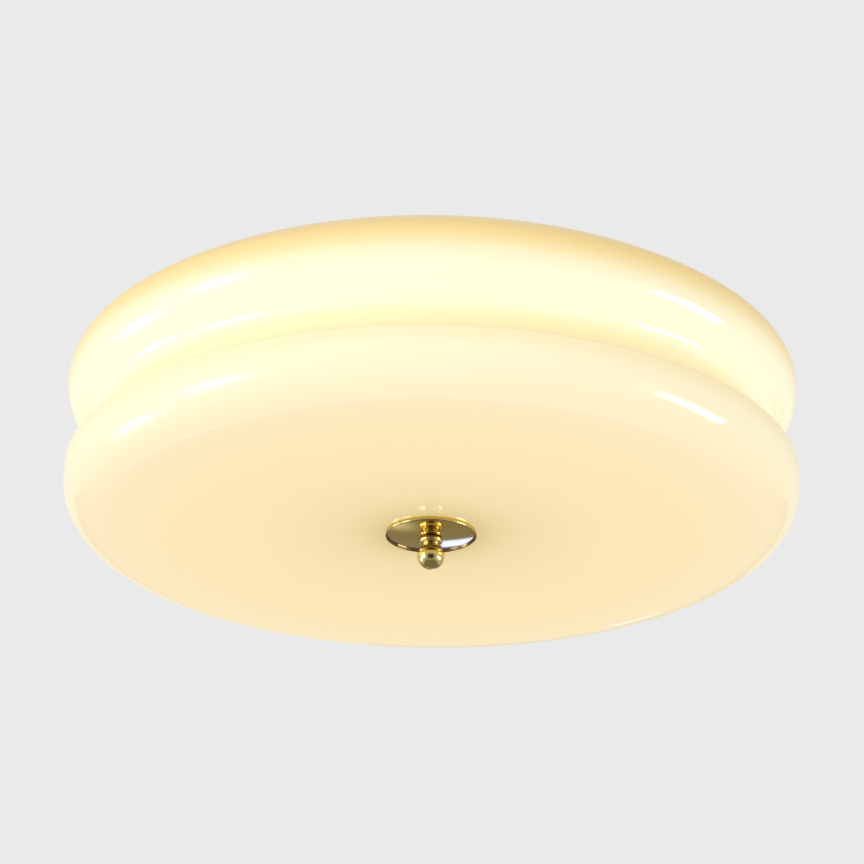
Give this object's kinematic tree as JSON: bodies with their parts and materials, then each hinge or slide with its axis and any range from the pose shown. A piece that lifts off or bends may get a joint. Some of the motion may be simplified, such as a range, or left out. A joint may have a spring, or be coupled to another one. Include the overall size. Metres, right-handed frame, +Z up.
{
  "type": "ceiling light",
  "caption": "Flush ceiling light with a two-tier milk glass shade, held up by a brass ball finial and dish on a central threaded rod.",
  "frame": {"origin": "middle of the strap's two ceiling screw holes, on the ceiling plane", "axes": "+Z up into the ceiling along the centre rod, +X along the mounting strap, +Y towards the terminal block and the first lamp"},
  "size_m": [0.3999, 0.4, 0.1353],
  "materials": {
    "milk_glass": "glossy blown milk glass, cream",
    "brass": "polished",
    "steel": "zinc plated",
    "white_paint": "satin powder coat",
    "porcelain": "glazed porcelain",
    "silicone": "matt silicone",
    "bulb_housing": "satin plastic",
    "bulb_dome": "opal",
    "bulb_cap": "nickel plated",
    "lead_sleeve": "silicone sleeve",
    "block_plastic": "moulded polyamide"
  },
  "bodies": {
    "base": {"mounting_strap": "steel", "strap_studs": "steel", "stud_nuts": "steel", "base_pan": "white_paint", "pan_nuts": "brass", "rim_buffers": "silicone", "centre_rod": "steel", "rod_nuts": "steel", "rod_washers": "steel", "stop_nut": "steel", "stop_washer": "steel", "holder_bracket": "steel", "bracket_screws": "steel", "bracket_nuts": "steel", "lead_bushings": "silicone", "holder_nipples": "brass", "nipple_nuts": "brass", "lampholder_1": "porcelain", "lampholder_2": "porcelain", "lampholder_3": "porcelain", "holder_shell_1": "brass", "holder_shell_2": "brass", "holder_shell_3": "brass", "holder_contact_1": "brass", "holder_contact_2": "brass", "holder_contact_3": "brass", "terminal_block": "block_plastic", "terminal_screws": "brass", "block_screws": "steel", "earth_screw": "brass", "earth_washer": "brass", "lead_1": "lead_sleeve", "lead_2": "lead_sleeve", "lead_3": "lead_sleeve"},
    "shade": {"glass_shade": "milk_glass", "gasket_upper": "silicone", "gasket_lower": "silicone", "finial_dish": "brass"},
    "finial": {"finial_collar": "brass", "finial_ball": "brass"},
    "bulb_1": {"bulb_cap_1": "bulb_cap", "bulb_body_1": "bulb_housing", "bulb_globe_1": "bulb_dome"},
    "bulb_2": {"bulb_cap_2": "bulb_cap", "bulb_body_2": "bulb_housing", "bulb_globe_2": "bulb_dome"},
    "bulb_3": {"bulb_cap_3": "bulb_cap", "bulb_body_3": "bulb_housing", "bulb_globe_3": "bulb_dome"}
  },
  "joints": [
    {"name": "shade_lower", "type": "slide", "parent": "base", "child": "shade", "axis": [0, 0, -1], "range_m": [0, 0.008]},
    {"name": "finial_turn", "type": "hinge", "parent": "shade", "child": "finial", "pos_m": [0, 0, -0.125], "axis": [0, 0, -1], "range_deg": [0, 2890]},
    {"name": "bulb_1_turn", "type": "hinge", "parent": "base", "child": "bulb_1", "pos_m": [0, 0.08, -0.06], "axis": [0, 1, 0], "continuous": true},
    {"name": "bulb_2_turn", "type": "hinge", "parent": "base", "child": "bulb_2", "pos_m": [-0.06928, -0.04, -0.06], "axis": [-0.866, -0.5, 0], "continuous": true},
    {"name": "bulb_3_turn", "type": "hinge", "parent": "base", "child": "bulb_3", "pos_m": [0.06928, -0.04, -0.06], "axis": [0.866, -0.5, 0], "continuous": true}
  ],
  "couplings": [
    {"joint": "finial_turn", "follows": "shade_lower", "rad_per_m": 6283.2}
  ]
}
